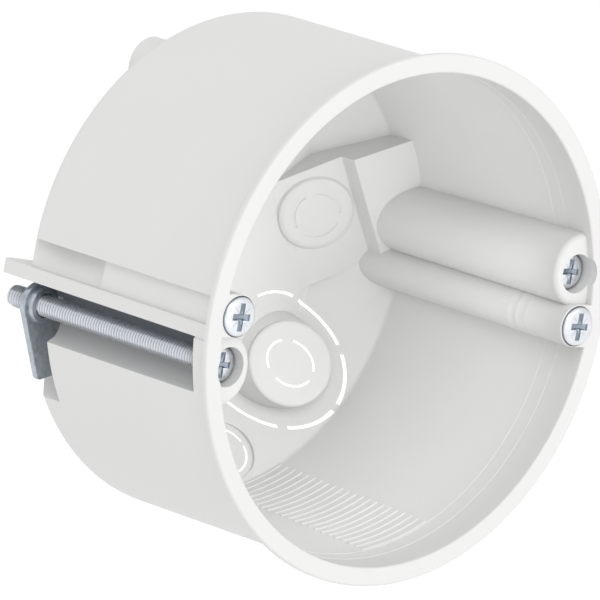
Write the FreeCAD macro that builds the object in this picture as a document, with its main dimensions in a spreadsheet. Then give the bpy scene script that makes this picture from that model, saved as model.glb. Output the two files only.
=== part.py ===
import FreeCAD, Part
import math
import os
import Sketcher

# Drywall back box: a round moulded cup with a thin front flange, two swing-out claws on long
# machine screws and two device screws. Millimetres and degrees.
# The origin is the centre of the flange's back face. +Y goes into the wall, +Z is up.
# All depths are measured from the flange's back face. Everything on the right side (+X) is
# repeated on the left by half a turn about the Y axis.

SIZES = [
    # Cup
    ("flange_radius", 34.7),
    ("flange_thickness", 1.0),
    ("body_radius", 32.9),
    ("mouth_wall", 0.7),
    ("mouth_depth", 1.5),
    ("front_wall", 1.4),
    ("rear_wall", 2.0),
    ("shoulder_depth", 34.0),
    ("inside_depth", 41.8),
    ("floor_wall", 2.2),
    ("taper_angle", 45),
    ("far_radius", 80),
    # Device screw columns
    ("device_x", 30.0),
    ("column_radius", 2.8),
    # Device screws
    ("device_thread_radius", 1.5),
    ("device_thread_length", 15.0),
    ("device_point", 1.6),
    ("device_head_radius", 2.6),
    ("device_head_height", 1.5),
    ("device_fit", 0.05),
    ("device_head_room", 0.15),
    ("device_spare_depth", 2.0),
    # Claw screw bosses and channels
    ("claw_x", 29.4),
    ("claw_z", 6.7),
    ("boss_shift", 1.15),
    ("boss_radius", 5.35),
    ("boss_bevel", 1.0),
    ("channel_shift", 0.57),
    ("channel_radius", 3.77),
    ("channel_depth", 3.6),
    ("channel_lip", 1.48),
    # Claw screws
    ("claw_screw_radius", 1.5),
    ("claw_screw_reach", 4.6),
    ("claw_screw_point", 0.5),
    ("claw_head_radius", 2.35),
    ("claw_head_height", 1.7),
    ("claw_head_top", 1.2),
    ("claw_head_room", 0.2),
    ("claw_screw_fit", 0.08),
    ("cross_depth", 1.0),
    ("cross_arm", 1.35),
    ("cross_half_width", 0.42),
    # Guide rails and the flats beside them
    ("rail_inner_z", 1.8),
    ("rail_width", 1.8),
    ("rail_x", 32.5),
    ("rail_end_gap", 3.2),
    ("rail_tip", 1.7),
    ("rail_tip_height", 1.5),
    ("rail_sink", 0.9),
    ("flat_x", 32.0),
    ("flat_edge_z", 2.0),
    ("well_x", 30.2),
    ("well_start", 23.0),
    # Claw blocks inside and claw pockets outside
    ("block_face", 25.4),
    ("block_direction", 28.5),
    ("block_side_angle", 35.0),
    ("block_length", 13.0),
    ("facet_rise", 4.6),
    ("facet_step", 1.6),
    ("facet_tilt", 29.0),
    ("pocket_inner_radius", 26.75),
    ("pocket_wall", 0.2),
    ("pocket_fall", 3.6),
    ("pocket_start_angle", 12.0),
    ("pocket_end_angle", 33.5),
    # Claws
    ("claw_gap", 0.4),
    ("claw_thickness", 1.0),
    ("claw_collar_height", 0.8),
    ("claw_collar_radius", 2.4),
    ("claw_eye_radius", 2.9),
    ("claw_outer_length", 9.3),
    ("claw_inner_length", 10.0),
    ("claw_end_width", 4.8),
    ("claw_fit", 0.05),
    ("claw_rest_angle", 115.4),
    # Large cable entry
    ("large_x", 17.25),
    ("large_z", -13.85),
    ("large_direction", -38.0),
    ("large_ring_radius", 8.6),
    ("large_slot_width", 0.6),
    ("large_slot_angle", 41.0),
    ("large_slot_phase", 39.4),
    ("large_slot_count", 7),
    ("large_pad_radius", 5.8),
    ("large_pad_foot", 7.7),
    ("large_pad_rise", 4.8),
    ("large_pad_tilt", 33.0),
    ("large_pad_wall", 2.2),
    ("large_hollow_radius", 4.6),
    ("large_hollow_length", 20),
    ("large_inner_radius", 2.85),
    ("large_inner_width", 0.45),
    ("large_inner_angle", 92.0),
    ("large_inner_phase", 32.0),
    # Small cable entry
    ("small_x", 11.2),
    ("small_z", -24.8),
    ("small_radius", 4.4),
    ("small_wall", 0.8),
    ("small_drop", 3.5),
    ("small_step", 0.5),
    ("small_shell_drop", 1.2),
    ("small_floor", 2.2),
    ("small_recess_length", 10),
    ("small_slot_radius", 3.1),
    ("small_slot_width", 0.5),
    ("small_slot_angle", 92.0),
    ("small_slot_phase", 30.0),
    # Closed cable entry on the sloping facet
    ("closed_x", 20.1),
    ("closed_z", 5.4),
    ("closed_radius", 4.9),
    ("closed_height", 1.3),
    ("closed_slot_radius", 3.1),
    ("closed_slot_width", 0.45),
    ("closed_slot_depth", 0.5),
    ("closed_slot_angle", 92.0),
    ("closed_slot_phase", 30.0),
    # Shared by the cable entries, and how far hidden ends run into or past other forms
    ("inner_slot_count", 3),
    ("overlap", 1.0),
    ("seam", 0.2),
    ("overrun", 3.0),
]

# Sizes that follow from the ones above.
DERIVED = [
    ("inner_front_radius", "body_radius - front_wall"),
    ("inner_rear_radius", "body_radius - rear_wall"),
    ("mouth_radius", "body_radius - mouth_wall"),
    ("inner_floor_radius", "inner_rear_radius - (inside_depth - shoulder_depth) * tan(taper_angle)"),
    ("outer_depth", "inside_depth + floor_wall"),
    ("cone_radius", "inner_rear_radius + floor_wall * cos(taper_angle)"),
    ("cone_depth", "shoulder_depth + floor_wall * sin(taper_angle)"),
    ("outer_shoulder_depth", "cone_depth - (body_radius - cone_radius) / tan(taper_angle)"),
    ("outer_floor_radius", "cone_radius - (outer_depth - cone_depth) * tan(taper_angle)"),
    ("flange_front", "-flange_thickness"),
    ("column_nose_x", "device_x - column_radius"),
    ("device_head_top", "-device_head_height"),
    ("device_shoulder", "device_thread_length - device_point"),
    ("device_head_hole", "device_head_radius + device_head_room"),
    ("device_tip_radius", "device_thread_radius / 4"),
    ("device_hole_radius", "device_thread_radius + device_fit"),
    ("device_hole_depth", "flange_thickness + device_thread_length + device_spare_depth"),
    ("boss_x", "claw_x + boss_shift"),
    ("boss_crown_radius", "boss_radius - boss_bevel"),
    ("channel_x", "claw_x + channel_shift"),
    ("channel_low_z", "rail_inner_z + rail_width"),
    ("channel_low_x", "channel_x - sqrt(channel_radius ^ 2 - (claw_z - channel_low_z) ^ 2)"),
    ("channel_nose_x", "channel_x - channel_radius"),
    ("channel_lip_x", "channel_x + channel_lip"),
    ("channel_lip_z", "claw_z + sqrt(channel_radius ^ 2 - channel_lip ^ 2)"),
    ("channel_length", "outer_depth"),
    ("claw_head_hole", "claw_head_radius + claw_head_room"),
    ("claw_seat_depth", "claw_head_top + claw_head_height"),
    ("claw_seat_from_front", "claw_seat_depth + flange_thickness"),
    ("claw_screw_hole", "claw_screw_radius + claw_screw_fit"),
    ("rail_outer_z", "rail_inner_z + rail_width"),
    ("rail_root_x", "(inner_rear_radius + body_radius) / 2 - rail_sink"),
    ("rail_root_depth", "shoulder_depth - overlap"),
    ("rail_end", "outer_depth - rail_end_gap"),
    ("rail_foot_depth", "rail_end - rail_tip_height"),
    ("rail_foot_x", "cone_radius - rail_sink - (rail_foot_depth - cone_depth) * tan(taper_angle)"),
    ("rail_tip_x", "rail_x - rail_tip"),
    ("flat_low_z", "-flat_edge_z"),
    ("block_slant_x", "block_face / cos(block_side_angle - block_direction)"),
    ("facet_front", "inside_depth - facet_rise"),
    ("block_front", "facet_front - facet_step"),
    ("block_outer_x", "body_radius + overlap"),
    ("block_outer_depth", "block_front - (block_outer_x - block_slant_x)"),
    ("facet_run", "(inside_depth - facet_front) / tan(facet_tilt)"),
    ("facet_end_x", "block_slant_x - facet_run - overlap"),
    ("facet_end_depth", "facet_front + (block_slant_x - facet_end_x) * tan(facet_tilt)"),
    ("pocket_rim_radius", "body_radius + overrun"),
    ("pocket_inner_depth", "block_front - pocket_wall"),
    ("pocket_slope", "pocket_fall / (body_radius - pocket_inner_radius)"),
    ("pocket_rim_depth", "pocket_inner_depth - (pocket_rim_radius - pocket_inner_radius) * pocket_slope"),
    ("pocket_back", "outer_depth + overrun"),
    ("pocket_angle", "pocket_end_angle - pocket_start_angle"),
    ("pocket_middle", "(pocket_end_angle + pocket_start_angle) / 2"),
    ("claw_depth", "pocket_inner_depth + claw_gap"),
    ("claw_bore", "claw_screw_radius + claw_fit"),
    ("claw_end_low", "claw_end_width - claw_eye_radius"),
    ("claw_collar_front", "claw_depth - claw_collar_height"),
    ("claw_bore_depth", "claw_thickness + claw_collar_height"),
    ("claw_screw_end", "claw_depth + claw_thickness + claw_screw_reach"),
    ("claw_screw_shoulder", "claw_screw_end - claw_screw_point"),
    ("claw_screw_tip", "claw_screw_radius - claw_screw_point"),
    ("large_slot_in", "large_ring_radius - large_slot_width / 2"),
    ("large_slot_out", "large_ring_radius + large_slot_width / 2"),
    ("large_cut_front", "shoulder_depth - overlap"),
    ("large_foot_depth", "inside_depth + overlap"),
    ("large_pad_depth", "inside_depth - large_pad_rise"),
    ("large_hollow_depth", "large_pad_depth + large_pad_wall / cos(large_pad_tilt)"),
    ("large_inner_in", "large_inner_radius - large_inner_width / 2"),
    ("large_inner_out", "large_inner_radius + large_inner_width / 2"),
    ("large_inner_front", "large_pad_depth - overrun"),
    ("small_outer_radius", "small_radius + small_wall"),
    ("small_front", "shoulder_depth + small_drop"),
    ("small_seat", "small_front + small_step"),
    ("small_shoulder", "shoulder_depth + small_shell_drop"),
    ("small_back", "small_seat + small_floor"),
    ("small_height", "small_back - small_front"),
    ("small_shell_height", "small_back - small_shoulder"),
    ("small_distance", "sqrt(small_x ^ 2 + small_z ^ 2)"),
    ("small_direction", "atan2(small_z; small_x)"),
    ("small_chord", "inner_rear_radius - (small_shoulder - shoulder_depth) * tan(taper_angle)"
                    " - small_distance + seam"),
    ("small_chord_half", "sqrt(small_outer_radius ^ 2 - small_chord ^ 2)"),
    ("small_cut_depth", "small_seat - small_recess_length"),
    ("small_slot_in", "small_slot_radius - small_slot_width / 2"),
    ("small_slot_out", "small_slot_radius + small_slot_width / 2"),
    ("closed_reach", "closed_x * cos(block_direction) + closed_z * sin(block_direction)"),
    ("closed_depth", "facet_front + (block_face - closed_reach) * tan(facet_tilt)"),
    ("closed_slot_in", "closed_slot_radius - closed_slot_width / 2"),
    ("closed_slot_out", "closed_slot_radius + closed_slot_width / 2"),
    ("closed_pad_length", "2 * closed_height"),
    ("closed_slot_front", "-closed_height - closed_slot_depth"),
    ("closed_slot_floor", "closed_slot_depth - closed_height"),
]


def make_sheet():
    """Writes every size and every derived size into one spreadsheet."""
    rows = [(name, str(value)) for name, value in SIZES]
    rows += [(name, "=" + formula) for name, formula in DERIVED]
    for index, (name, content) in enumerate(rows, start=1):
        sheet.set("A%d" % index, name)
        sheet.set("B%d" % index, content)
        sheet.setAlias("B%d" % index, name)
    doc.recompute()


def number(name):
    """Value of a named size. The names may carry a minus sign, and 0 stands for itself."""
    if name == "0":
        return 0.0
    if name.startswith("-"):
        return -float(sheet.get(name[1:]))
    return float(sheet.get(name))


def formula_of(name):
    """The same size as an expression."""
    if name.startswith("-"):
        return "-sizes." + name[1:]
    return "sizes." + name


def bind(target, path, name):
    """Ties one property or constraint to a named size."""
    if name != "0":
        target.setExpression(path, formula_of(name))


def origin_feature(body, role):
    """One of the body's own planes or axes."""
    return [f for f in body.Origin.OriginFeatures if f.Role == role][0]


def new_sketch(body, label, plane, place=None):
    """An empty sketch on one of the body's planes, moved by a placement expression."""
    sketch = body.newObject("Sketcher::SketchObject", label)
    sketch.AttachmentSupport = [(origin_feature(body, plane), "")]
    sketch.MapMode = "FlatFace"
    if place:
        sketch.setExpression("AttachmentOffset", place)
    return sketch


def placed(x, y, z, *turns):
    """Placement expression from three size names and turns given as (axis letter, angle)."""
    axes = {"x": "vector(1; 0; 0)", "y": "vector(0; 1; 0)", "z": "vector(0; 0; 1)"}
    spins = ["rotation(%s; %s)" % (axes[axis], angle) for axis, angle in turns]
    if not spins:
        spins = ["rotation(vector(0; 0; 1); 0)"]
    return "placement(vector(%s; %s; %s); %s)" % (x, y, z, " * ".join(spins))


def size(name):
    """A named size, or a plain nought, inside a placement expression."""
    if name == "0":
        return "0"
    return formula_of(name)


def fix_point(sketch, edge, end, x, y):
    """Holds one end of an edge at two named coordinates."""
    for kind, name in (("DistanceX", x), ("DistanceY", y)):
        made = sketch.addConstraint(Sketcher.Constraint(kind, -1, 1, edge, end, number(name)))
        bind(sketch, "Constraints[%d]" % made, name)


def arc_edge(start, end, radius, side):
    """The shorter arc between two points. Side 1 puts its centre left of the way, -1 right."""
    chord = end - start
    middle = (start + end) * 0.5
    rise = math.sqrt(max(radius * radius - chord.Length ** 2 / 4, 0.0))
    left = FreeCAD.Vector(-chord.y, chord.x, 0).normalize()
    centre = middle + left * (rise * side)
    reach = (middle - centre).normalize() if rise > 1e-9 else left * -side
    return Part.Arc(start, centre + reach * radius, end)


def draw_outline(sketch, corners, arcs=None):
    """Closed outline through named corners. Arcs maps an edge's number to (radius, side)."""
    arcs = arcs or {}
    points = [FreeCAD.Vector(number(x), number(y), 0) for x, y in corners]
    edges = []
    for index, start in enumerate(points):
        end = points[(index + 1) % len(points)]
        if index in arcs:
            radius, side = arcs[index]
            edge = arc_edge(start, end, number(radius), side)
        else:
            edge = Part.LineSegment(start, end)
        edges.append(sketch.addGeometry(edge, False))
    ends = []
    for index, edge in enumerate(edges):
        turned = index in arcs and arcs[index][1] < 0
        ends.append((2, 1) if turned else (1, 2))
    for index, edge in enumerate(edges):
        following = (index + 1) % len(edges)
        sketch.addConstraint(
            Sketcher.Constraint("Coincident", edge, ends[index][1], edges[following], ends[following][0]))
    for index, edge in enumerate(edges):
        fix_point(sketch, edge, ends[index][0], *corners[index])
        if index in arcs:
            radius = arcs[index][0]
            made = sketch.addConstraint(Sketcher.Constraint("Radius", edge, number(radius)))
            bind(sketch, "Constraints[%d]" % made, radius)


def draw_circle(sketch, radius, x="0", y="0"):
    """Circle with a named radius at a named centre."""
    centre = FreeCAD.Vector(number(x), number(y), 0)
    circle = Part.Circle(centre, FreeCAD.Vector(0, 0, 1), number(radius))
    edge = sketch.addGeometry(circle, False)
    fix_point(sketch, edge, 3, x, y)
    made = sketch.addConstraint(Sketcher.Constraint("Radius", edge, number(radius)))
    bind(sketch, "Constraints[%d]" % made, radius)


def settle(body, feature, grows):
    """Recomputes and makes sure that the feature adds or removes material as it should."""
    before = feature.BaseFeature.Shape.Volume if feature.BaseFeature else 0.0
    doc.recompute()
    if feature.Shape.isNull() or not feature.isValid():
        raise RuntimeError("%s has no valid shape" % feature.Label)
    change = feature.Shape.Volume - before
    if (change > 0) != grows or abs(change) < 1e-4:
        raise RuntimeError("%s changes the volume by %.4f" % (feature.Label, change))
    body.Tip = feature
    return feature


def pad(body, label, sketch, length, away=True, both=False):
    """Pad with a named length. Away means toward +Y for sketches on the XZ plane."""
    feature = body.newObject("PartDesign::Pad", label)
    feature.Profile = sketch
    feature.Length = number(length)
    bind(feature, "Length", length)
    feature.Reversed = away
    if both:
        feature.Midplane = True
    return settle(body, feature, True)


def pocket(body, label, sketch, length, away=True):
    """Pocket with a named depth. Away means toward +Y for sketches on the XZ plane."""
    feature = body.newObject("PartDesign::Pocket", label)
    feature.Profile = sketch
    feature.Length = number(length)
    bind(feature, "Length", length)
    feature.Reversed = not away
    return settle(body, feature, False)


def turned(body, label, kind, sketch, angle=None):
    """Revolution or groove about the sketch's own vertical axis, centred on its plane."""
    feature = body.newObject("PartDesign::" + kind, label)
    feature.Profile = sketch
    feature.ReferenceAxis = (sketch, ["V_Axis"])
    feature.Angle = 360
    if angle:
        feature.Angle = number(angle)
        bind(feature, "Angle", angle)
        feature.Midplane = True
    return settle(body, feature, kind == "Revolution")


def half_turn_copy(body, label, features, grows):
    """Repeats plain features on the other side of the box."""
    feature = body.newObject("PartDesign::PolarPattern", label)
    feature.Originals = features
    feature.Axis = (origin_feature(body, "Y_Axis"), [""])
    feature.Angle = 360
    feature.Occurrences = 2
    feature.BaseFeature = features[-1]
    return settle(body, feature, grows)


def ring_copies(body, label, groove, sketch, count):
    """Repeats one slot around its own cable entry."""
    feature = body.newObject("PartDesign::PolarPattern", label)
    feature.Originals = [groove]
    feature.Axis = (sketch, ["V_Axis"])
    feature.Angle = 360
    feature.Occurrences = int(number(count))
    bind(feature, "Occurrences", count)
    feature.BaseFeature = groove
    return settle(body, feature, False)


def make_cup(body):
    """Flange, side wall, sloping rear and floor in one turned shape."""
    sketch = new_sketch(body, "cup_profile", "XY_Plane")
    draw_outline(sketch, [
        ("0", "outer_depth"),
        ("outer_floor_radius", "outer_depth"),
        ("body_radius", "outer_shoulder_depth"),
        ("body_radius", "0"),
        ("flange_radius", "0"),
        ("flange_radius", "flange_front"),
        ("mouth_radius", "flange_front"),
        ("mouth_radius", "mouth_depth"),
        ("inner_front_radius", "mouth_depth"),
        ("inner_rear_radius", "shoulder_depth"),
        ("inner_floor_radius", "inside_depth"),
        ("0", "inside_depth"),
    ])
    turned(body, "cup", "Revolution", sketch)


def make_inner_forms(body):
    """Device columns, claw screw bosses, claw blocks and the raised cable entries."""
    section = new_sketch(body, "column_section", "XZ_Plane")
    draw_outline(section, [
        ("inner_front_radius", "-column_radius"),
        ("inner_front_radius", "column_radius"),
        ("device_x", "column_radius"),
        ("column_nose_x", "0"),
        ("device_x", "-column_radius"),
    ], {2: ("column_radius", 1), 3: ("column_radius", 1)})
    column = pad(body, "column", section, "outer_depth")

    profile = new_sketch(body, "boss_profile", "XY_Plane", placed(size("boss_x"), "0", size("claw_z")))
    draw_outline(profile, [
        ("0", "0"),
        ("boss_crown_radius", "0"),
        ("boss_radius", "boss_bevel"),
        ("boss_radius", "outer_depth"),
        ("0", "outer_depth"),
    ])
    boss = turned(body, "boss", "Revolution", profile)

    block = make_claw_block(body)
    dome = make_large_dome(body)
    half_turn_copy(body, "inner_forms_left", [column, boss, block, dome], True)

    trim = new_sketch(body, "outer_limit", "XY_Plane")
    draw_outline(trim, [
        ("body_radius", "0"),
        ("far_radius", "0"),
        ("far_radius", "far_radius"),
        ("0", "far_radius"),
        ("0", "outer_depth"),
        ("outer_floor_radius", "outer_depth"),
        ("body_radius", "outer_shoulder_depth"),
    ])
    turned(body, "outer_trim", "Groove", trim)


def make_claw_block(body):
    """Solid block in front of the claw pocket, with its sloping face and the facet behind it."""
    section = new_sketch(body, "block_section", "XY_Plane",
                         placed("0", "0", "0", ("y", "-sizes.block_side_angle")))
    draw_outline(section, [
        ("block_outer_x", "block_outer_depth"),
        ("block_outer_x", "pocket_back"),
        ("facet_end_x", "pocket_back"),
        ("facet_end_x", "facet_end_depth"),
        ("block_slant_x", "facet_front"),
        ("block_slant_x", "block_front"),
    ])
    feature = body.newObject("PartDesign::Pad", "claw_block")
    feature.Profile = section
    feature.Length = number("block_length")
    bind(feature, "Length", "block_length")
    along = math.radians(number("block_direction"))
    feature.UseCustomVector = True
    feature.Direction = FreeCAD.Vector(math.sin(along), 0, -math.cos(along))
    return settle(body, feature, True)


def tilted_place(x, z, depth, direction, tilt):
    """Placement for a sketch that faces forward and leans toward the box's axis."""
    return placed(size(x), size(z), "-" + size(depth), ("z", size(direction)), ("y", "-" + size(tilt)))


def tilted_axis(sign, x, z, depth, direction, tilt, phase):
    """Placement for a sketch whose vertical axis is the axis of a tilted disc. The sign picks the side."""
    turn = "-" + size(direction) + (" + 180" if sign else "")
    return placed(sign + size(x), size(depth), sign + "(" + size(z) + ")",
                  ("y", turn), ("z", "-" + size(tilt)), ("y", "-" + size(phase)))


def make_large_dome(body):
    """Raised, tilted disc of the large cable entry with its skirt."""
    top = new_sketch(body, "dome_top", "XZ_Plane",
                     tilted_place("large_x", "large_z", "large_pad_depth", "large_direction",
                                  "large_pad_tilt"))
    draw_circle(top, "large_pad_radius")
    foot = new_sketch(body, "dome_foot", "XZ_Plane",
                      placed(size("large_x"), size("large_z"), "-" + size("large_foot_depth"),
                             ("z", size("large_direction"))))
    draw_circle(foot, "large_pad_foot")
    feature = body.newObject("PartDesign::AdditiveLoft", "dome")
    feature.Profile = top
    feature.Sections = [foot]
    feature.Ruled = True
    return settle(body, feature, True)


def make_outer_forms(body):
    """Guide rails behind the cup and the stubs of the small cable entries."""
    fin = new_sketch(body, "rail_side", "XY_Plane", placed("0", "0", size("rail_inner_z")))
    draw_outline(fin, [
        ("rail_root_x", "rail_root_depth"),
        ("rail_x", "rail_root_depth"),
        ("rail_x", "rail_end"),
        ("rail_tip_x", "rail_end"),
        ("rail_foot_x", "rail_foot_depth"),
    ])
    rail = pad(body, "rail", fin, "rail_width", away=False)

    disc = new_sketch(body, "stub_disc", "XZ_Plane",
                      placed(size("small_x"), size("small_z"), "-" + size("small_front")))
    draw_circle(disc, "small_outer_radius")
    stub = pad(body, "stub", disc, "small_height")

    half = new_sketch(body, "stub_shell_outline", "XZ_Plane",
                      placed(size("small_x"), size("small_z"), "-" + size("small_shoulder"),
                             ("z", size("small_direction"))))
    draw_outline(half, [
        ("small_chord", "-small_chord_half"),
        ("small_outer_radius", "0"),
        ("small_chord", "small_chord_half"),
    ], {0: ("small_outer_radius", 1), 1: ("small_outer_radius", 1)})
    shell = pad(body, "stub_shell", half, "small_shell_height")
    half_turn_copy(body, "outer_forms_left", [rail, stub, shell], True)


def make_outer_cuts(body):
    """Flats beside the rails, channels, claw pockets and the hollows behind the entries."""
    cuts = []
    level = new_sketch(body, "rail_level", "XZ_Plane")
    draw_outline(level, [
        ("rail_x", "flat_low_z"),
        ("far_radius", "flat_low_z"),
        ("far_radius", "rail_outer_z"),
        ("rail_x", "rail_outer_z"),
    ])
    cuts.append(pocket(body, "rail_face", level, "pocket_back"))

    flat = new_sketch(body, "flat_outline", "XZ_Plane")
    draw_outline(flat, [
        ("flat_x", "flat_low_z"),
        ("far_radius", "flat_low_z"),
        ("far_radius", "rail_inner_z"),
        ("flat_x", "rail_inner_z"),
    ])
    cuts.append(pocket(body, "flat", flat, "pocket_back"))

    well = new_sketch(body, "well_outline", "XZ_Plane",
                      placed("0", "0", "-" + size("well_start")))
    draw_outline(well, [
        ("well_x", "flat_low_z"),
        ("far_radius", "flat_low_z"),
        ("far_radius", "rail_inner_z"),
        ("well_x", "rail_inner_z"),
    ])
    cuts.append(pocket(body, "well", well, "pocket_back"))

    channel = new_sketch(body, "channel_outline", "XZ_Plane",
                         placed("0", "0", "-" + size("channel_depth")))
    draw_outline(channel, [
        ("channel_low_x", "channel_low_z"),
        ("far_radius", "channel_low_z"),
        ("far_radius", "channel_lip_z"),
        ("channel_lip_x", "channel_lip_z"),
        ("channel_nose_x", "claw_z"),
    ], {3: ("channel_radius", 1), 4: ("channel_radius", 1)})
    cuts.append(pocket(body, "channel", channel, "channel_length"))

    pocket_profile = new_sketch(body, "pocket_profile", "XY_Plane",
                                placed("0", "0", "0", ("y", "-sizes.pocket_middle")))
    draw_outline(pocket_profile, [
        ("pocket_inner_radius", "pocket_inner_depth"),
        ("pocket_rim_radius", "pocket_rim_depth"),
        ("pocket_rim_radius", "pocket_back"),
        ("pocket_inner_radius", "pocket_back"),
    ])
    cuts.append(turned(body, "claw_pocket", "Groove", pocket_profile, "pocket_angle"))

    recess = new_sketch(body, "stub_recess", "XZ_Plane",
                        placed(size("small_x"), size("small_z"), "-" + size("small_cut_depth")))
    draw_circle(recess, "small_radius")
    cuts.append(pocket(body, "small_recess", recess, "small_recess_length"))

    cuts.append(make_dome_hollow(body))
    half_turn_copy(body, "outer_cuts_left", cuts, False)


def make_dome_hollow(body):
    """Hollow behind the large entry's disc, so that its wall stays even."""
    disc = new_sketch(body, "hollow_disc", "XZ_Plane",
                      tilted_place("large_x", "large_z", "large_hollow_depth", "large_direction",
                                   "large_pad_tilt"))
    draw_circle(disc, "large_hollow_radius")
    return pocket(body, "dome_hollow", disc, "large_hollow_length")


def make_screw_holes(body):
    """Head recesses, clearance holes and pilot holes for the four screws."""
    holes = []
    for label, x, z, radius, depth in (
            ("claw_head_recess", "claw_x", "claw_z", "claw_head_hole", "claw_seat_from_front"),
            ("claw_screw_way", "claw_x", "claw_z", "claw_screw_hole", "pocket_back"),
            ("device_head_recess", "device_x", "0", "device_head_hole", "flange_thickness"),
            ("device_pilot", "device_x", "0", "device_hole_radius", "device_hole_depth")):
        sketch = new_sketch(body, label + "_circle", "XZ_Plane",
                            placed(size(x), size(z), size("flange_thickness")))
        draw_circle(sketch, radius)
        holes.append(pocket(body, label, sketch, depth))
    half_turn_copy(body, "screw_holes_left", holes, False)


def make_closed_entry(body):
    """Closed cable entry on the facet: a raised disc, thinned by a ring of blind slots."""
    disc = new_sketch(body, "closed_disc", "XZ_Plane",
                      tilted_place("closed_x", "closed_z", "closed_depth", "block_direction",
                                   "facet_tilt"))
    draw_circle(disc, "closed_radius")
    raised = pad(body, "closed_entry", disc, "closed_pad_length", both=True)
    half_turn_copy(body, "closed_entry_left", [raised], True)
    places = [(side, tilted_axis(sign, "closed_x", "closed_z", "closed_depth", "block_direction",
                                 "facet_tilt", "closed_slot_phase"))
              for side, sign in (("right", ""), ("left", "-"))]
    slot_rings(body, "closed", places, ("closed_slot_in", "closed_slot_out"),
               ("closed_slot_front", "closed_slot_floor"), "closed_slot_angle", "inner_slot_count")


def slot_rings(body, label, places, radii, depths, angle, count):
    """A ring of slots at each place. The radii and depths belong to the slots' own axis."""
    for side, place in places:
        sketch = new_sketch(body, "%s_%s_profile" % (label, side), "XY_Plane", place)
        draw_outline(sketch, [
            (radii[0], depths[0]),
            (radii[1], depths[0]),
            (radii[1], depths[1]),
            (radii[0], depths[1]),
        ])
        groove = turned(body, "%s_%s_slot" % (label, side), "Groove", sketch, angle)
        ring_copies(body, "%s_%s_slots" % (label, side), groove, sketch, count)


def level_places(x, z, phase):
    """Places for a ring of slots that is cut straight along Y, on both sides of the box."""
    right = placed(size(x), "0", "(" + size(z) + ")", ("y", "-" + size(phase)))
    left = placed("-" + size(x), "0", "-(" + size(z) + ")", ("y", "-" + size(phase) + " + 180"))
    return [("right", right), ("left", left)]


def make_perforations(body):
    """See-through slots of the large and the small cable entries."""
    slot_rings(body, "large", level_places("large_x", "large_z", "large_slot_phase"),
               ("large_slot_in", "large_slot_out"), ("large_cut_front", "pocket_back"),
               "large_slot_angle", "large_slot_count")
    slot_rings(body, "inner", level_places("large_x", "large_z", "large_inner_phase"),
               ("large_inner_in", "large_inner_out"), ("large_inner_front", "pocket_back"),
               "large_inner_angle", "inner_slot_count")
    slot_rings(body, "small", level_places("small_x", "small_z", "small_slot_phase"),
               ("small_slot_in", "small_slot_out"), ("small_front", "pocket_back"),
               "small_slot_angle", "inner_slot_count")


def make_box_body():
    """The whole moulding."""
    body = doc.addObject("PartDesign::Body", "box_body")
    make_cup(body)
    make_inner_forms(body)
    make_outer_forms(body)
    make_outer_cuts(body)
    make_screw_holes(body)
    make_closed_entry(body)
    make_perforations(body)
    return body


def stand(body, x, z, left):
    """Places a loose part on its own axis, turned half round on the left side."""
    sign, turn = ("-", "180") if left else ("", "0")
    body.setExpression("Placement", placed(sign + size(x), "0", sign + size(z) if z != "0" else "0",
                                           ("y", turn)))


def make_claw_screw(label, left):
    """Pan head machine screw that runs down the channel."""
    body = doc.addObject("PartDesign::Body", label)
    profile = new_sketch(body, "profile", "XY_Plane")
    draw_outline(profile, [
        ("0", "claw_head_top"),
        ("claw_head_radius", "claw_head_top"),
        ("claw_head_radius", "claw_seat_depth"),
        ("claw_screw_radius", "claw_seat_depth"),
        ("claw_screw_radius", "claw_screw_shoulder"),
        ("claw_screw_tip", "claw_screw_end"),
        ("0", "claw_screw_end"),
    ])
    turned(body, "blank", "Revolution", profile)
    cut_cross(body, "claw_head_top")
    stand(body, "claw_x", "claw_z", left)
    return body


def make_device_screw(label, left):
    """Short pan head self-tapping screw for the device's mounting ring."""
    body = doc.addObject("PartDesign::Body", label)
    profile = new_sketch(body, "profile", "XY_Plane")
    draw_outline(profile, [
        ("0", "device_head_top"),
        ("device_head_radius", "device_head_top"),
        ("device_head_radius", "0"),
        ("device_thread_radius", "0"),
        ("device_thread_radius", "device_shoulder"),
        ("device_tip_radius", "device_thread_length"),
        ("0", "device_thread_length"),
    ])
    turned(body, "blank", "Revolution", profile)
    cut_cross(body, "device_head_top")
    stand(body, "device_x", "0", left)
    return body


def cut_cross(body, top):
    """Cross recess in a screw head."""
    arm = "cross_arm"
    half = "cross_half_width"
    sketch = new_sketch(body, "cross_outline", "XZ_Plane", placed("0", "0", "-(" + size(top) + ")"))
    draw_outline(sketch, [
        (arm, half), (half, half), (half, arm), ("-" + half, arm),
        ("-" + half, half), ("-" + arm, half), ("-" + arm, "-" + half), ("-" + half, "-" + half),
        ("-" + half, "-" + arm), (half, "-" + arm), (half, "-" + half), (arm, "-" + half),
    ])
    pocket(body, "cross", sketch, "cross_depth")


def make_claw(label, left):
    """Flat steel claw with a collar, riding on its screw."""
    body = doc.addObject("PartDesign::Body", label)
    eye = "claw_eye_radius"
    plate = new_sketch(body, "plate_outline", "XZ_Plane",
                       placed("0", "0", "-" + size("claw_depth"), ("z", size("claw_rest_angle"))))
    draw_outline(plate, [
        ("0", "-" + eye),
        ("claw_outer_length", "-" + eye),
        ("claw_inner_length", "claw_end_low"),
        ("0", eye),
        ("-" + eye, "0"),
    ], {3: (eye, 1), 4: (eye, 1)})
    pad(body, "plate", plate, "claw_thickness")
    ring = new_sketch(body, "collar_circle", "XZ_Plane",
                      placed("0", "0", "-" + size("claw_collar_front")))
    draw_circle(ring, "claw_collar_radius")
    pad(body, "collar", ring, "claw_collar_height")
    hole = new_sketch(body, "bore_circle", "XZ_Plane",
                      placed("0", "0", "-" + size("claw_collar_front")))
    draw_circle(hole, "claw_bore")
    pocket(body, "bore", hole, "claw_bore_depth")
    stand(body, "claw_x", "claw_z", left)
    return body


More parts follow.
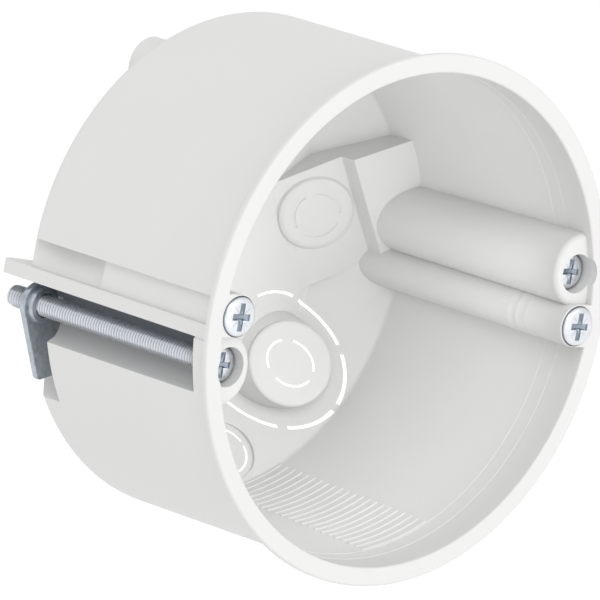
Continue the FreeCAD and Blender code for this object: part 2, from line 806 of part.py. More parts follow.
def check_and_export(bodies):
    """Stops on any broken feature, then writes each part."""
    doc.recompute()
    for item in doc.Objects:
        if "Invalid" in item.State or "Error" in item.State:
            raise RuntimeError("%s is not computed" % item.Label)
    for body in bodies:
        shape = body.Shape
        if shape.isNull() or not shape.isValid() or len(shape.Solids) != 1:
            raise RuntimeError("%s is not one sound solid" % body.Label)
        shape.exportStep("parts/%s.step" % body.Label)
        print("%-20s %9.1f mm3  %s" % (body.Label, shape.Volume, shape.BoundBox))


os.makedirs("parts", exist_ok=True)
doc = FreeCAD.newDocument("drywall_back_box")
sheet = doc.addObject("Spreadsheet::Sheet", "sizes")
make_sheet()
check_and_export([
    make_box_body(),
    make_claw_screw("claw_screw_right", False),
    make_claw_screw("claw_screw_left", True),
    make_claw("claw_right", False),
    make_claw("claw_left", True),
    make_device_screw("device_screw_right", False),
    make_device_screw("device_screw_left", True),
])
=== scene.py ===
"""Looks of the drywall back box: the moulded cup with its cable entries, the screws and the claws.

Laid out as an add-on, run as a script. Every length in the helpers is in millimetres and is turned
into metres when a mesh is made. The frame is the part's own: +Y into the wall, +Z up, origin at the
centre of the flange's back face. The right side is built, and the left is its half turn about Y.
"""
import math

import bmesh
import bpy
from mathutils import Matrix, Vector


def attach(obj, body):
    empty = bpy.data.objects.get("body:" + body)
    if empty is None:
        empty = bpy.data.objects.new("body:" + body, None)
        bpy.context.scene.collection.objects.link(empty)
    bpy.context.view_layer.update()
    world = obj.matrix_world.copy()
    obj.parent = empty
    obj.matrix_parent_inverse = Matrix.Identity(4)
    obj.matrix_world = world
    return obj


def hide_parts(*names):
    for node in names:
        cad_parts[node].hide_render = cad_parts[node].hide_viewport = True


bl_info = {
    "name": "Drywall back box",
    "version": (1, 0, 0),
    "blender": (4, 5, 0),
    "location": "View3D > Sidebar > Back box",
    "description": "Builds the finished look of a round drywall back box around its packed frame",
    "category": "Object",
}

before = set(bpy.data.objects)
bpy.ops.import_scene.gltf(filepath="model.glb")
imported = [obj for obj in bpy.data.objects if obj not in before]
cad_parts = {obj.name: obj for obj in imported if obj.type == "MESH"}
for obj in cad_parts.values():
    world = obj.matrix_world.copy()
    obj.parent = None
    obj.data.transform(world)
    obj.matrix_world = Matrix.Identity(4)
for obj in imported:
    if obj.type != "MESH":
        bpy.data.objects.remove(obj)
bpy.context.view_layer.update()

MM = 0.001
HALF_TURN = Matrix.Rotation(math.pi, 4, "Y")
SIDES = (("right", Matrix.Identity(4)), ("left", HALF_TURN))


def length(name, description, default):
    """A length setting, given in millimetres."""
    return bpy.props.FloatProperty(name=name, description=description, default=default * MM,
                                   unit="LENGTH", subtype="DISTANCE", precision=5)


def colour(name, description, default):
    """A linear colour setting."""
    return bpy.props.FloatVectorProperty(name=name, description=description, default=default,
                                         size=3, subtype="COLOR", min=0.0, max=1.0)


class BackBoxCupSettings(bpy.types.PropertyGroup):
    """Sizes of the moulded cup."""
    flange_radius: length("Flange radius", "Outer radius of the flange", 34.7)
    flange_thickness: length("Flange thickness", "Thickness of the flange", 1.0)
    body_radius: length("Body radius", "Outer radius of the side wall", 32.9)
    mouth_radius: length("Mouth radius", "Inner radius at the rim", 32.2)
    mouth_step: length("Mouth step", "Height of each of the two fine steps in the mouth", 0.065)
    rear_inner: length("Inner radius at the shoulder", "Inner radius where the rear starts", 30.9)
    shoulder: length("Shoulder depth", "Depth where the sloping rear starts inside", 34.0)
    inside_depth: length("Inside depth", "Depth of the floor", 41.8)
    floor: length("Floor thickness", "Thickness of the floor and of the sloping rear", 2.2)
    rib_pitch: length("Rib pitch", "Distance between the fine ribs on the inner wall", 1.31)
    rib_height: length("Rib height", "Height of the fine ribs", 0.12)


class BackBoxFixingSettings(bpy.types.PropertyGroup):
    """Places and sizes of the screws, their columns, the rails and the claws."""
    device_x: length("Device screw place", "Distance of a device screw from the axis", 30.0)
    column_radius: length("Column radius", "Radius of the column round a device screw", 2.8)
    claw_x: length("Claw screw X", "Sideways place of the right claw screw", 29.4)
    claw_z: length("Claw screw Z", "Height of the right claw screw", 6.7)
    boss_shift: length("Boss shift", "How far the boss's axis lies outside the screw's", 1.15)
    boss_raise: length("Boss raise", "How far the boss's axis lies above the screw's", 0.4)
    boss_radius: length("Boss radius", "Radius of the boss round a claw screw", 4.95)
    channel_shift: length("Channel shift", "How far the channel's axis lies outside the screw's", 0.57)
    channel_radius: length("Channel radius", "Radius of the channel round a claw screw", 3.77)
    channel_depth: length("Channel depth", "Depth where the channel starts", 3.6)
    rail_low: length("Rail inner side", "Height of the rail's side beside the flat", 1.8)
    rail_high: length("Rail outer side", "Height of the rail's side at the channel", 3.6)
    screw_radius: length("Screw radius", "Outer radius of the claw screw's thread", 1.45)
    pitch: length("Claw screw pitch", "Pitch of the claw screw's thread", 0.5)
    tapping_pitch: length("Device screw pitch", "Pitch of the device screw's thread", 1.2)
    claw_depth: length("Claw depth", "Depth of the claw's front face", 35.8)
    claw_thickness: length("Claw thickness", "Thickness of the claw's plate", 1.0)


class BackBoxFinishSettings(bpy.types.PropertyGroup):
    """Colours of the surfaces."""
    plastic: colour("Plastic", "Colour of the moulding", (0.655, 0.655, 0.65))
    zinc: colour("Zinc", "Colour of the plated screws", (0.74, 0.76, 0.79))
    # Painted shade: the darker steel colour laid into the screws' cross recesses, thread roots and head
    # sides and into the claws' eye bores.
    recess: colour("Painted steel shade", "Colour of the screws' recesses and thread roots", (0.28, 0.32, 0.37))
    claw: colour("Claw steel", "Colour of the plated claws", (0.46, 0.50, 0.54))
    ground: colour("Floor", "Colour of the floor under the box", (1.0, 1.0, 1.0))


def setting(group, name):
    """One length of a settings group, in millimetres."""
    return getattr(getattr(bpy.context.scene, group), name) / MM


def polar(radius, degrees):
    """Point at a radius and an angle."""
    turn = math.radians(degrees)
    return radius * math.cos(turn), radius * math.sin(turn)


def rounded(corners, steps=5):
    """Closed outline with rounded corners. Each corner is (u, v) or (u, v, radius)."""
    outline = []
    count = len(corners)
    for index, corner in enumerate(corners):
        here = Vector(corner[:2])
        radius = corner[2] if len(corner) > 2 else 0.0
        if radius <= 0:
            outline.append(here)
            continue
        before = Vector(corners[index - 1][:2])
        after = Vector(corners[(index + 1) % count][:2])
        back = (before - here).normalized()
        on = (after - here).normalized()
        half = back.angle(on) / 2
        reach = radius / math.tan(half)
        centre = here + (back + on).normalized() * (radius / math.sin(half))
        start = here + back * reach - centre
        end = here + on * reach - centre
        sweep = start.angle_signed(end)
        for step in range(steps + 1):
            outline.append(centre + rotated(start, -sweep * step / steps))
    return outline


def rotated(vector, turn):
    """Plane vector turned by an angle in radians, anticlockwise."""
    cos, sin = math.cos(turn), math.sin(turn)
    return Vector((vector.x * cos - vector.y * sin, vector.x * sin + vector.y * cos))


def arc(centre, radius, start, end, steps):
    """Points along an arc, angles in degrees."""
    points = []
    for step in range(steps + 1):
        u, v = polar(radius, start + (end - start) * step / steps)
        points.append(Vector((centre[0] + u, centre[1] + v)))
    return points


def circle(radius, steps=96, centre=(0.0, 0.0)):
    """Points round a full circle."""
    return arc(centre, radius, 0, 360 * (steps - 1) / steps, steps - 1)


def mesh_object(name, bm):
    """Object from a bmesh whose lengths are millimetres."""
    bmesh.ops.remove_doubles(bm, verts=bm.verts, dist=1e-5)
    bmesh.ops.dissolve_degenerate(bm, edges=bm.edges, dist=1e-6)
    bmesh.ops.recalc_face_normals(bm, faces=bm.faces)
    bmesh.ops.scale(bm, vec=(MM, MM, MM), verts=bm.verts)
    mesh = bpy.data.meshes.new(name)
    bm.to_mesh(mesh)
    bm.free()
    made = bpy.data.objects.new(name, mesh)
    bpy.context.scene.collection.objects.link(made)
    return made


def skinned(name, rings):
    """Solid through a row of rings of equal length, capped at both ends."""
    bm = bmesh.new()
    rows = [[bm.verts.new(point) for point in ring] for ring in rings]
    for low, high in zip(rows, rows[1:]):
        for index in range(len(low)):
            following = (index + 1) % len(low)
            bm.faces.new((low[index], low[following], high[following], high[index]))
    bm.faces.new(rows[0])
    bm.faces.new(rows[-1])
    return mesh_object(name, bm)


def into_wall(point, depth):
    """Place of a point of the face plane (X, Z) at a depth."""
    return Vector((point[0], depth, point[1]))


def prism(name, outline, near, far, place=None):
    """Outline in X and Z, pushed from one depth to another."""
    place = place or Matrix.Identity(4)
    rings = [[place @ into_wall(point, depth) for point in outline] for depth in (near, far)]
    return skinned(name, rings)


def slab(name, outline, low, high):
    """Outline in X and Y, raised from one height to another."""
    return skinned(name, [[Vector((p[0], p[1], z)) for p in outline] for z in (low, high)])


def turned(name, profile, steps=192, centre=(0.0, 0.0), start=0.0, end=360.0):
    """Profile (radius, depth) turned about an axis parallel to Y. Angles run from +X to +Z."""
    bm = bmesh.new()
    full = end - start >= 360.0
    count = steps if full else steps + 1
    rows = []
    for index in range(count):
        u, v = polar(1.0, start + (end - start) * index / steps)
        rows.append([bm.verts.new((centre[0] + r * u, y, centre[1] + r * v)) for r, y in profile])
    pairs = list(zip(rows, rows[1:])) + ([(rows[-1], rows[0])] if full else [])
    for left, right in pairs:
        for index in range(len(profile)):
            following = (index + 1) % len(profile)
            if full and profile[index][0] <= 1e-9 and profile[following][0] <= 1e-9:
                continue
            bm.faces.new((left[index], left[following], right[following], right[index]))
    if not full:
        bm.faces.new(rows[0])
        bm.faces.new(rows[-1])
    return mesh_object(name, bm)


def sound(piece):
    """Whether a mesh is closed, with two faces at every edge."""
    bm = bmesh.new()
    bm.from_mesh(piece.data)
    closed = bool(bm.faces) and all(edge.is_manifold for edge in bm.edges)
    bm.free()
    return closed


def apply_boolean(target, tools, operation):
    """Adds, removes or keeps what the tools cover, one after another, and clears the tools away."""
    for piece in [target] + tools:
        if not sound(piece):
            raise RuntimeError("%s is not a closed mesh" % piece.name)
    for tool in tools:
        modifier = target.modifiers.new("boolean", "BOOLEAN")
        modifier.operation = operation
        modifier.solver = "MANIFOLD"
        modifier.object = tool
    apply_modifiers(target)
    for tool in tools:
        bpy.data.objects.remove(tool)


def apply_modifiers(target):
    """Replaces the mesh by its modified form."""
    graph = bpy.context.evaluated_depsgraph_get()
    mesh = bpy.data.meshes.new_from_object(target.evaluated_get(graph))
    old = target.data
    target.modifiers.clear()
    target.data = mesh
    mesh.name = target.name
    bpy.data.meshes.remove(old)


def copied(source, turn):
    """Copy of an object, turned."""
    twin = source.copy()
    twin.data = source.data.copy()
    twin.data.transform(turn)
    bpy.context.scene.collection.objects.link(twin)
    return twin


def on_both_sides(tools):
    """The tools with their half-turn copies."""
    return tools + [copied(tool, HALF_TURN) for tool in tools]


def smooth(target, limit):
    """Smooth shading with hard edges above an angle, and flat faces kept flat."""
    mesh = target.data
    mesh.shade_smooth()
    mesh.set_sharp_from_angle(angle=math.radians(limit))
    weighted = target.modifiers.new("weighted", "WEIGHTED_NORMAL")
    weighted.keep_sharp = True
    weighted.weight = 100
    apply_modifiers(target)


def edge_round(target, width):
    """Small rounding along the edges that turn by more than 40 degrees."""
    bevel = target.modifiers.new("bevel", "BEVEL")
    bevel.width = width * MM
    bevel.segments = 2
    bevel.limit_method = "ANGLE"
    bevel.angle_limit = math.radians(40)
    bevel.use_clamp_overlap = True
    apply_modifiers(target)


def cup_values():
    """The cup's lengths in millimetres, by name."""
    names = BackBoxCupSettings.__annotations__
    return {name: setting("back_box_cup", name) for name in names}


def fixing_values():
    """The fixings' lengths in millimetres, by name."""
    names = BackBoxFixingSettings.__annotations__
    return {name: setting("back_box_fixing", name) for name in names}


def inner_radius(cup, depth):
    """Radius of the tapering inner wall behind the mouth."""
    share = (depth - MOUTH_LINES[1]) / (cup["shoulder"] - MOUTH_LINES[1])
    front = cup["mouth_radius"] - 3 * cup["mouth_step"]
    return front + (cup["rear_inner"] - front) * share


def cup_shell(cup):
    """Flange, wall, sloping rear and floor, with soft edges."""
    slope = cup["inside_depth"] - cup["shoulder"]
    inner_floor = cup["rear_inner"] - slope
    outer_sum = cup["rear_inner"] + cup["shoulder"] + cup["floor"] * math.sqrt(2)
    back = cup["inside_depth"] + cup["floor"]
    front = -cup["flange_thickness"]
    step = cup["mouth_step"]
    mouth = cup["mouth_radius"]
    profile = rounded([
        (0.0, back),
        (outer_sum - back, back, 1.2),
        (cup["body_radius"], outer_sum - cup["body_radius"], 1.2),
        (cup["body_radius"], 0.0, 0.25),
        (cup["flange_radius"], 0.0, 0.3),
        (cup["flange_radius"], front, 0.35),
        (mouth, front, 0.3),
        (mouth, MOUTH_LINES[0] - step),
        (mouth - step, MOUTH_LINES[0]),
        (mouth - 2 * step, MOUTH_LINES[1] - step),
        (mouth - 3 * step, MOUTH_LINES[1]),
        (cup["rear_inner"], cup["shoulder"], 1.0),
        (inner_floor, cup["inside_depth"], 0.8),
        (0.0, cup["inside_depth"]),
    ])
    return turned("box_moulding", [tuple(point) for point in profile], steps=288)


def rib_comb(cup):
    """Row of fine raised ribs along the inner wall, joined behind its surface."""
    profile = []
    for index in range(RIB_COUNT):
        depth = RIB_START + index * cup["rib_pitch"]
        wall = inner_radius(cup, depth)
        crest = wall - cup["rib_height"]
        profile += [(wall + 0.05, depth - 0.3), (crest, depth - 0.1), (crest, depth + 0.1),
                    (wall + 0.05, depth + 0.3)]
    first, last = profile[0], profile[-1]
    profile += [(last[0] + 0.5, last[1]), (first[0] + 0.5, first[1])]
    return turned("ribs", profile, steps=18, start=RIB_ANGLES[0], end=RIB_ANGLES[1])


def wall_core(cup, name="wall_core", inset=0.0):
    """Everything inside the middle of the wall, used to trim what stands inside."""
    middle = (cup["mouth_radius"] + cup["body_radius"]) / 2 - inset
    outer_sum = cup["rear_inner"] + cup["shoulder"] + cup["floor"] * math.sqrt(2) / 2 - inset
    back = cup["inside_depth"] + cup["floor"] / 2 - inset
    profile = [(0.0, -3.0), (middle, -3.0), (middle, outer_sum - middle), (outer_sum - back, back),
               (0.0, back)]
    return turned(name, profile, steps=144)


def column_outline(fix, radius):
    """Half-round nose round a device screw, open toward the wall."""
    back = fix["device_x"] + 4.0
    nose = arc((fix["device_x"], 0.0), radius, 90, 270, 32)
    return nose + [Vector((back, -radius)), Vector((back, radius))]


def column(fix, front):
    """Device screw column, with its front just behind the rim's face."""
    soft = column_outline(fix, fix["column_radius"] - 0.12)
    full = column_outline(fix, fix["column_radius"])
    rings = [(soft, front), (full, front + 0.12), (full, 44.0)]
    return skinned("column", [[into_wall(p, depth) for p in outline] for outline, depth in rings])


def column_ridge(fix, depth):
    """Fine raised line round the column's nose."""
    low = column_outline(fix, fix["column_radius"] - 0.02)
    high = column_outline(fix, fix["column_radius"] + 0.08)
    rings = [(low, depth - 0.32), (high, depth - 0.08), (high, depth + 0.08), (low, depth + 0.32)]
    return skinned("ridge", [[into_wall(p, at) for p in outline] for outline, at in rings])


def boss(fix):
    """Round boss of the claw screw, running down to the claw block."""
    radius = fix["boss_radius"]
    crown = radius - BOSS_SOFT
    edge = [polar(BOSS_SOFT, 90 - 15 * step) for step in range(7)]
    profile = [(0.0, 0.0)] + [(crown + u, BOSS_SOFT - v) for u, v in edge]
    profile += [(radius, 46.0), (0.0, 46.0)]
    centre = (fix["claw_x"] + fix["boss_shift"], fix["claw_z"] + fix["boss_raise"])
    return turned("boss", profile, steps=96, centre=centre)


def claw_block():
    """Block in front of the claw pocket: a sloping face, a step and the facet down to the floor."""
    direction, side = BLOCK["direction"], BLOCK["side_angle"]
    face = BLOCK["face"] / math.cos(math.radians(side - direction))
    tilt = math.tan(math.radians(BLOCK["facet_tilt"]))
    front, facet = BLOCK["front"], BLOCK["facet_front"]
    run = (BLOCK["inside_depth"] - facet) / tilt + 0.6
    wall = front - BLOCK["slope"] * (34.0 - face)
    section = rounded([(face, front, 0.2), (34.0, wall), (34.0, 46.0), (face - run, 46.0),
                       (face - run, facet + run * tilt), (face, facet, 0.2)], steps=3)
    u, v = polar(1.0, side)
    turn = math.radians(direction)
    down = Vector((math.sin(turn), 0.0, -math.cos(turn))) * BLOCK["length"]
    near = [Vector((p.x * u, p.y, p.x * v)) for p in section]
    return skinned("claw_block", [near, [point + down for point in near]])


def leaning(x, z, depth, direction, tilt):
    """Placement of a disc that faces the front and leans toward the box's axis.

    Its local X points away from the axis, its local Y into the wall."""
    lean = Matrix.Translation((x, depth, z)) @ Matrix.Rotation(-math.radians(direction), 4, "Y")
    return lean @ Matrix.Rotation(-math.radians(tilt), 4, "Z")


# Places and sizes that belong to one form only, in millimetres and degrees. A direction is the way
# from the box's axis to the outside, and a tilt is the lean toward the axis.
LARGE = {"x": 17.25, "z": -13.85, "direction": -38.0, "tilt": 33.0, "depth": 37.0, "wall": 2.2}
DOME = {"top": 5.8, "foot": 6.9, "foot_depth": 42.8, "shift": (1.2, -0.6), "soft": 0.5, "hollow": 4.6}
CLOSED = {"x": 19.5, "z": 6.0, "direction": 32.0, "tilt": 29.0, "depth": 39.6}
SMALL = {"x": 8.5, "z": -25.9, "direction": -71.8, "tilt": 45.0, "depth": 37.65, "seat": 4.4}
STUB = {"x": 12.9, "z": -24.1, "radius": 3.8, "start": 33.0, "end": 40.8}
BLOCK = {"face": 24.4, "direction": 32.0, "side_angle": 35.0, "length": 16.2, "front": 34.5, "slope": 0.68,
         "facet_front": 36.9, "facet_tilt": 29.0, "inside_depth": 41.8}
POCKET = {"inner": 26.75, "depth": 35.4, "slope": 0.585, "start": 12.0, "end": 34.3}
CLAW_HEAD = {"radius": 2.35, "top": 1.2, "seat": 2.9, "arms": (1.4, 1.65), "half": 0.4, "depth": 0.5}
DEVICE_HEAD = {"radius": 2.6, "top": -1.5, "seat": 0.0, "arms": (1.45, 1.8), "half": 0.42, "depth": 0.5}
CLAW_THREAD = {"depth": 0.27, "near": 2.7, "far": 41.4, "flank": (0.0, 0.08, 0.5, 0.58)}
DEVICE_THREAD = {"depth": 0.42, "near": -0.2, "far": 15.0, "flank": (0.0, 0.42, 0.62, 0.7)}
DEVICE_THREAD_RADIUS = 1.5
# Shares of a screw head's radius and height, from its crown to its underside.
HEAD_FORM = ((0.5, 0.01), (0.72, 0.03), (0.84, 0.06), (0.92, 0.11), (0.97, 0.2), (1.0, 0.32),
             (1.0, 0.96), (0.98, 1.0))
BOSS_SOFT = 0.8
CLAW_REST = 115.4
MOUTH_LINES = (3.6, 5.8)
RIB_COUNT = 22
RIB_START = 6.2
RIB_ANGLES = (-80.0, -60.0)
COLUMN_RIDGES = (5.9, 7.55, 9.2)
ENTRY_FRONT = 32.0


def on_entry(entry):
    """Placement of a cable entry's own face."""
    return leaning(entry["x"], entry["z"], entry["depth"], entry["direction"], entry["tilt"])


def through_slots():
    """Rings of through slots: centre, radius, width, span, phase, count, near, far and placement."""
    large = (LARGE["x"], LARGE["z"])
    return ((large, 8.55, 0.36, 43.5, 39.4, 7, 33.6, 46.2, Matrix.Identity(4)),
            (large, 2.85, 0.26, 92.0, 32.0, 3, 33.5, 46.4, Matrix.Identity(4)),
            ((0.0, 0.0), 3.4, 0.26, 108.0, 30.0, 3, -1.5, 5.0, on_entry(SMALL)))


def dome():
    """Tilted disc of the large entry with its skirt."""
    place = on_entry(LARGE)
    aside, up = DOME["shift"]
    soft = DOME["soft"]
    foot = Matrix.Translation((LARGE["x"] + aside, DOME["foot_depth"], LARGE["z"] + up))
    foot = foot @ Matrix.Rotation(-math.radians(LARGE["direction"]), 4, "Y")
    rings = []
    for inset, drop in ((soft, 0.0), (soft * 0.6, soft * 0.08), (soft * 0.25, soft * 0.32), (0.0, soft)):
        rings.append([place @ into_wall(p, drop) for p in circle(DOME["top"] - inset)])
    rings.append([foot @ into_wall(p, 0.0) for p in circle(DOME["foot"])])
    return skinned("dome", rings)


def closed_disc():
    """Raised disc of the closed entry, with a foot ring round it."""
    place = on_entry(CLOSED)
    rings = []
    for radius, depth in ((4.2, -0.85), (4.65, -0.8), (5.0, -0.62), (5.25, -0.2), (5.9, 0.03), (5.9, 1.3)):
        rings.append([place @ into_wall(p, depth) for p in circle(radius)])
    return skinned("closed_disc", rings)


def ring_piece(name, centre, inner, outer, middle, span, near, far, place=None):
    """Arc-shaped bar, used to cut one slot."""
    steps = max(6, round(span / 4))
    outline = arc(centre, inner, middle - span / 2, middle + span / 2, steps)
    outline += arc(centre, outer, middle + span / 2, middle - span / 2, steps)
    return prism(name, outline, near, far, place)


def slots(centre, radius, width, span, phase, count, near, far, place=None):
    """Ring of slots round a cable entry."""
    inner, outer = radius - width / 2, radius + width / 2
    return [ring_piece("slot", centre, inner, outer, phase + index * 360 / count, span, near, far, place)
            for index in range(count)]


def small_stub(cup):
    """Short stub of the small entry behind the sloping rear."""
    stub = prism("stub", circle(STUB["radius"], centre=(STUB["x"], STUB["z"])), STUB["start"], STUB["end"])
    apply_boolean(stub, [wall_core(cup, inset=0.6)], "DIFFERENCE")
    return stub


def rail_fin(fix):
    """Tail of the guide rail behind the cup."""
    outline = rounded([(31.0, 33.0), (32.5, 33.0), (32.5, 41.2, 1.0), (30.8, 41.2, 0.5), (27.81, 39.3)])
    return slab("rail", outline, fix["rail_low"], fix["rail_high"])


def well(fix):
    """Scoop beside the rail: deepest at its far edge, rising toward the rail and at both ends."""
    low, high = -2.02, fix["rail_low"] - 0.05
    rings = []
    for depth, share in ((22.4, 0.0), (23.3, 0.55), (24.4, 0.88), (26.0, 1.0), (31.5, 1.0), (33.3, 0.85),
                         (34.6, 0.5), (35.6, 0.0)):
        far = 32.05 - 1.75 * share
        near = 32.05 - 0.25 * share
        middle = 32.05 - 1.15 * share
        across = ((40.7, low), (far, low), (middle, low + 1.7), (near, high), (40.7, high))
        rings.append([Vector((x, depth, z)) for x, z in across])
    return skinned("well", rings)


def channel(fix):
    """Half-round channel beside the claw screw, with a soft flank up to its lip."""
    centre = (fix["claw_x"] + fix["channel_shift"], fix["claw_z"])
    radius = fix["channel_radius"]
    low = math.degrees(math.asin((fix["claw_z"] - fix["rail_high"]) / radius)) + 180
    outline = arc(centre, radius, 96, low, 44)
    flank = [Vector((41.0, 14.4)), Vector((31.3, 10.82)), Vector((30.6, 10.62))]
    outline = flank + outline + [Vector((41.0, fix["rail_high"]))]
    return prism("channel", outline, fix["channel_depth"], 47.0)


def outer_cut_tools(fix):
    """Flats, channel, claw pocket and the hollows behind the entries."""
    tools = [
        slab("rail_face", [(32.5, 0.02), (40.0, 0.02), (40.0, 46.0), (32.5, 46.0)], -1.9,
             fix["rail_high"] + 0.2),
        slab("flat", [(32.0, 0.03), (40.5, 0.03), (40.5, 46.5), (32.0, 46.5)], -2.0, fix["rail_low"]),
        well(fix),
        channel(fix),
    ]
    inner, depth, slope = POCKET["inner"], POCKET["depth"], POCKET["slope"]
    pocket = [(inner, depth), (inner + 10, depth - 10 * slope), (inner + 10, 47.5), (inner, 47.5)]
    tools.append(turned("pocket", pocket, steps=24, start=POCKET["start"], end=POCKET["end"]))
    tools.append(prism("small_seat", circle(SMALL["seat"]), -4.0, 0.14, on_entry(SMALL)))
    behind = LARGE["depth"] + LARGE["wall"] / math.cos(math.radians(LARGE["tilt"]))
    place = leaning(LARGE["x"], LARGE["z"], behind, LARGE["direction"], LARGE["tilt"])
    tools.append(prism("hollow", circle(DOME["hollow"]), 0.0, 20.0, place))
    return tools


def hole_tools(fix):
    """Head recesses, clearance holes and pilot holes."""
    claw = (fix["claw_x"], fix["claw_z"])
    device = (fix["device_x"], 0.0)
    head = [(0.0, -3.0), (2.62, -3.0), (2.62, -0.05), (2.55, 0.12), (2.55, 2.92), (0.0, 2.92)]
    recess = [(0.0, -3.0), (2.68, -3.0), (2.68, 0.02), (1.75, 0.02), (1.55, 0.3), (1.55, 17.0), (0.0, 17.9)]
    return [turned("head_hole", head, steps=64, centre=claw),
            prism("screw_hole", circle(1.58, 48, claw), -2.0, 46.0),
            turned("device_hole", recess, steps=64, centre=device)]


def entry_cut_tools():
    """Slots of all the cable entries on the right side."""
    tools = []
    for centre, radius, width, span, phase, count, near, far, place in through_slots():
        tools += slots(centre, radius, width, span, phase, count, near, far, place)
    place = on_entry(CLOSED)
    tools += slots((0.0, 0.0), 3.1, 0.4, 92.0, 30.0, 3, -2.0, -0.77, place)
    return tools


def build_moulding():
    """The whole white moulding as one mesh."""
    cup, fix = cup_values(), fixing_values()
    shell = cup_shell(cup)
    inner = [column(fix, 0.01 - cup["flange_thickness"]), boss(fix), claw_block(), dome()]
    inner += [column_ridge(fix, depth) for depth in COLUMN_RIDGES]
    inner = on_both_sides(inner)
    first = inner.pop()
    apply_boolean(first, inner, "UNION")
    apply_boolean(first, [wall_core(cup)], "INTERSECT")
    outer = on_both_sides([small_stub(cup), rail_fin(fix), closed_disc(), rib_comb(cup)])
    apply_boolean(shell, [first] + outer, "UNION")
    apply_boolean(shell, on_both_sides(outer_cut_tools(fix)), "DIFFERENCE")
    apply_boolean(shell, on_both_sides(hole_tools(fix)), "DIFFERENCE")
    apply_boolean(shell, on_both_sides(entry_cut_tools()), "DIFFERENCE")
    return shell


def mark(target, name, rule):
    """Stores a value from 0 to 1 at each face corner, by a rule of the corner and the face."""
    mesh = target.data
    layer = mesh.attributes.new(name, "FLOAT", "CORNER")
    for face in mesh.polygons:
        centre = face.center / MM
        for corner in face.loop_indices:
            point = mesh.vertices[mesh.loops[corner].vertex_index].co / MM
            layer.data[corner].value = min(max(rule(point, centre, face.normal), 0.0), 1.0)


def painted_slot_glow():
    """Rule that picks the walls of the through slots, which get a painted glow in place of the light that
    would shine through them from behind.
    """
    rings = []
    for ring in through_slots():
        rings.append((Vector(ring[0]), ring[1], ring[2], ring[8].inverted()))

    def rule(point, centre, normal):
        if centre.y < ENTRY_FRONT:
            return 0.0
        side = 1.0 if centre.z * LARGE["z"] > 0 else -1.0
        here = Vector((centre.x * side, centre.y, centre.z * side))
        facing = Vector((normal.x * side, normal.y, normal.z * side))
        for middle, radius, width, back in rings:
            local = back @ here
            off = (Vector((local.x, local.z)) - middle).length - radius
            if abs(off) < width / 2 + 0.03 and abs((back.to_3x3() @ facing).y) < 0.25:
                return 1.0
        return 0.0

    return rule


def channel_shade(fix):
    """Rule that shades the channels: most beside the rail, less under the screw toward the front."""
    axis = Vector((fix["claw_x"] + fix["channel_shift"], fix["claw_z"]))

    def rule(point, centre, normal):
        side = 1.0 if centre.x > 0 else -1.0
        middle = Vector((centre.x, centre.z)) * side
        off = abs((middle - axis).length - fix["channel_radius"])
        beside_rail = abs(middle.y - fix["rail_high"]) < 0.02 and 27.5 < middle.x < 32.4
        if centre.y < fix["channel_depth"] + 0.1 or (off > 0.06 and not beside_rail):
            return 0.0
        if beside_rail:
            return 0.6
        height = point.z * side
        upper = 0.85 * (1.0 - (height - fix["claw_z"]) / 2.6)
        lower = 0.15 * (1.0 - (point.y - fix["channel_depth"]) / 22.0)
        return max(min(upper, 0.85), lower if height < 9.4 else 0.0)

    return rule


def thread_form(name, outer, depth, pitch, near, far, flank, steps=28):
    """Threaded rod along Y: the flank gives where a turn leaves its root and reaches its crest."""
    root = outer - depth
    levels = ((flank[0], root), (flank[1], root), (flank[2], outer), (flank[3], outer))
    turns = int(math.ceil((far - near) / pitch)) + 2
    rows = len(levels) * turns
    bm = bmesh.new()
    grid = []
    for row in range(rows + 1):
        share, radius = levels[row % len(levels)]
        line = []
        for step in range(steps):
            along = near + pitch * (row // len(levels) - 1 + share + step / steps)
            held = min(max(along, near), far)
            fade = min(1.0, abs(along - held) / (0.3 * pitch)) if held != along else 0.0
            reach = min(1.0, (far - held) / (outer * 0.45) + 0.35)
            u, v = polar((radius + (root - radius) * fade) * reach, 360 * step / steps)
            line.append(bm.verts.new((u, held, v)))
        grid.append(line)
    for row in range(rows):
        for step in range(steps):
            following = step + 1
            if following < steps:
                near_end, far_end = grid[row][following], grid[row + 1][following]
            elif row + len(levels) + 1 <= rows:
                ahead = row + len(levels)
                near_end, far_end = grid[ahead][0], grid[ahead + 1][0]
            else:
                continue
            bm.faces.new((grid[row][step], near_end, far_end, grid[row + 1][step]))
    bmesh.ops.remove_doubles(bm, verts=bm.verts, dist=1e-4)
    bmesh.ops.holes_fill(bm, edges=[edge for edge in bm.edges if edge.is_boundary])
    return mesh_object(name, bm)


def cross_tools(top, arms, half, depth):
    """Cross recess with one long and one short arm, and fine lines between them."""
    tools = []
    for turn, arm in ((0, arms[0]), (90, arms[1])):
        bar = [Vector(p) for p in ((-arm, -half), (arm, -half), (arm, half), (-arm, half))]
        tip = [Vector(p) for p in ((-arm * 0.4, -half * 0.6), (arm * 0.4, -half * 0.6),
                                   (arm * 0.4, half * 0.6), (-arm * 0.4, half * 0.6))]
        spin = Matrix.Rotation(math.radians(turn), 4, "Y")
        tools.append(skinned("bar", [[spin @ into_wall(p, top - 0.5 - turn * 0.001) for p in bar],
                                     [spin @ into_wall(p, top + 0.3) for p in bar],
                                     [spin @ into_wall(p, top + depth - turn * 0.001) for p in tip]]))
    core = [(0.0, top - 0.7), (half * 2.0, top - 0.7), (half * 2.0, top), (0.0, top + depth - 0.2)]
    tools.append(turned("core", core, steps=24))
    reach = arms[1] * 0.95
    for turn in (45, 135):
        spin = Matrix.Rotation(math.radians(turn), 4, "Y")
        line = [Vector(p) for p in ((-reach, -0.07), (reach, -0.07), (reach, 0.07), (-reach, 0.07))]
        tools.append(prism("line", line, top - 0.4 - turn * 0.001, top + 0.09, spin))
    return tools


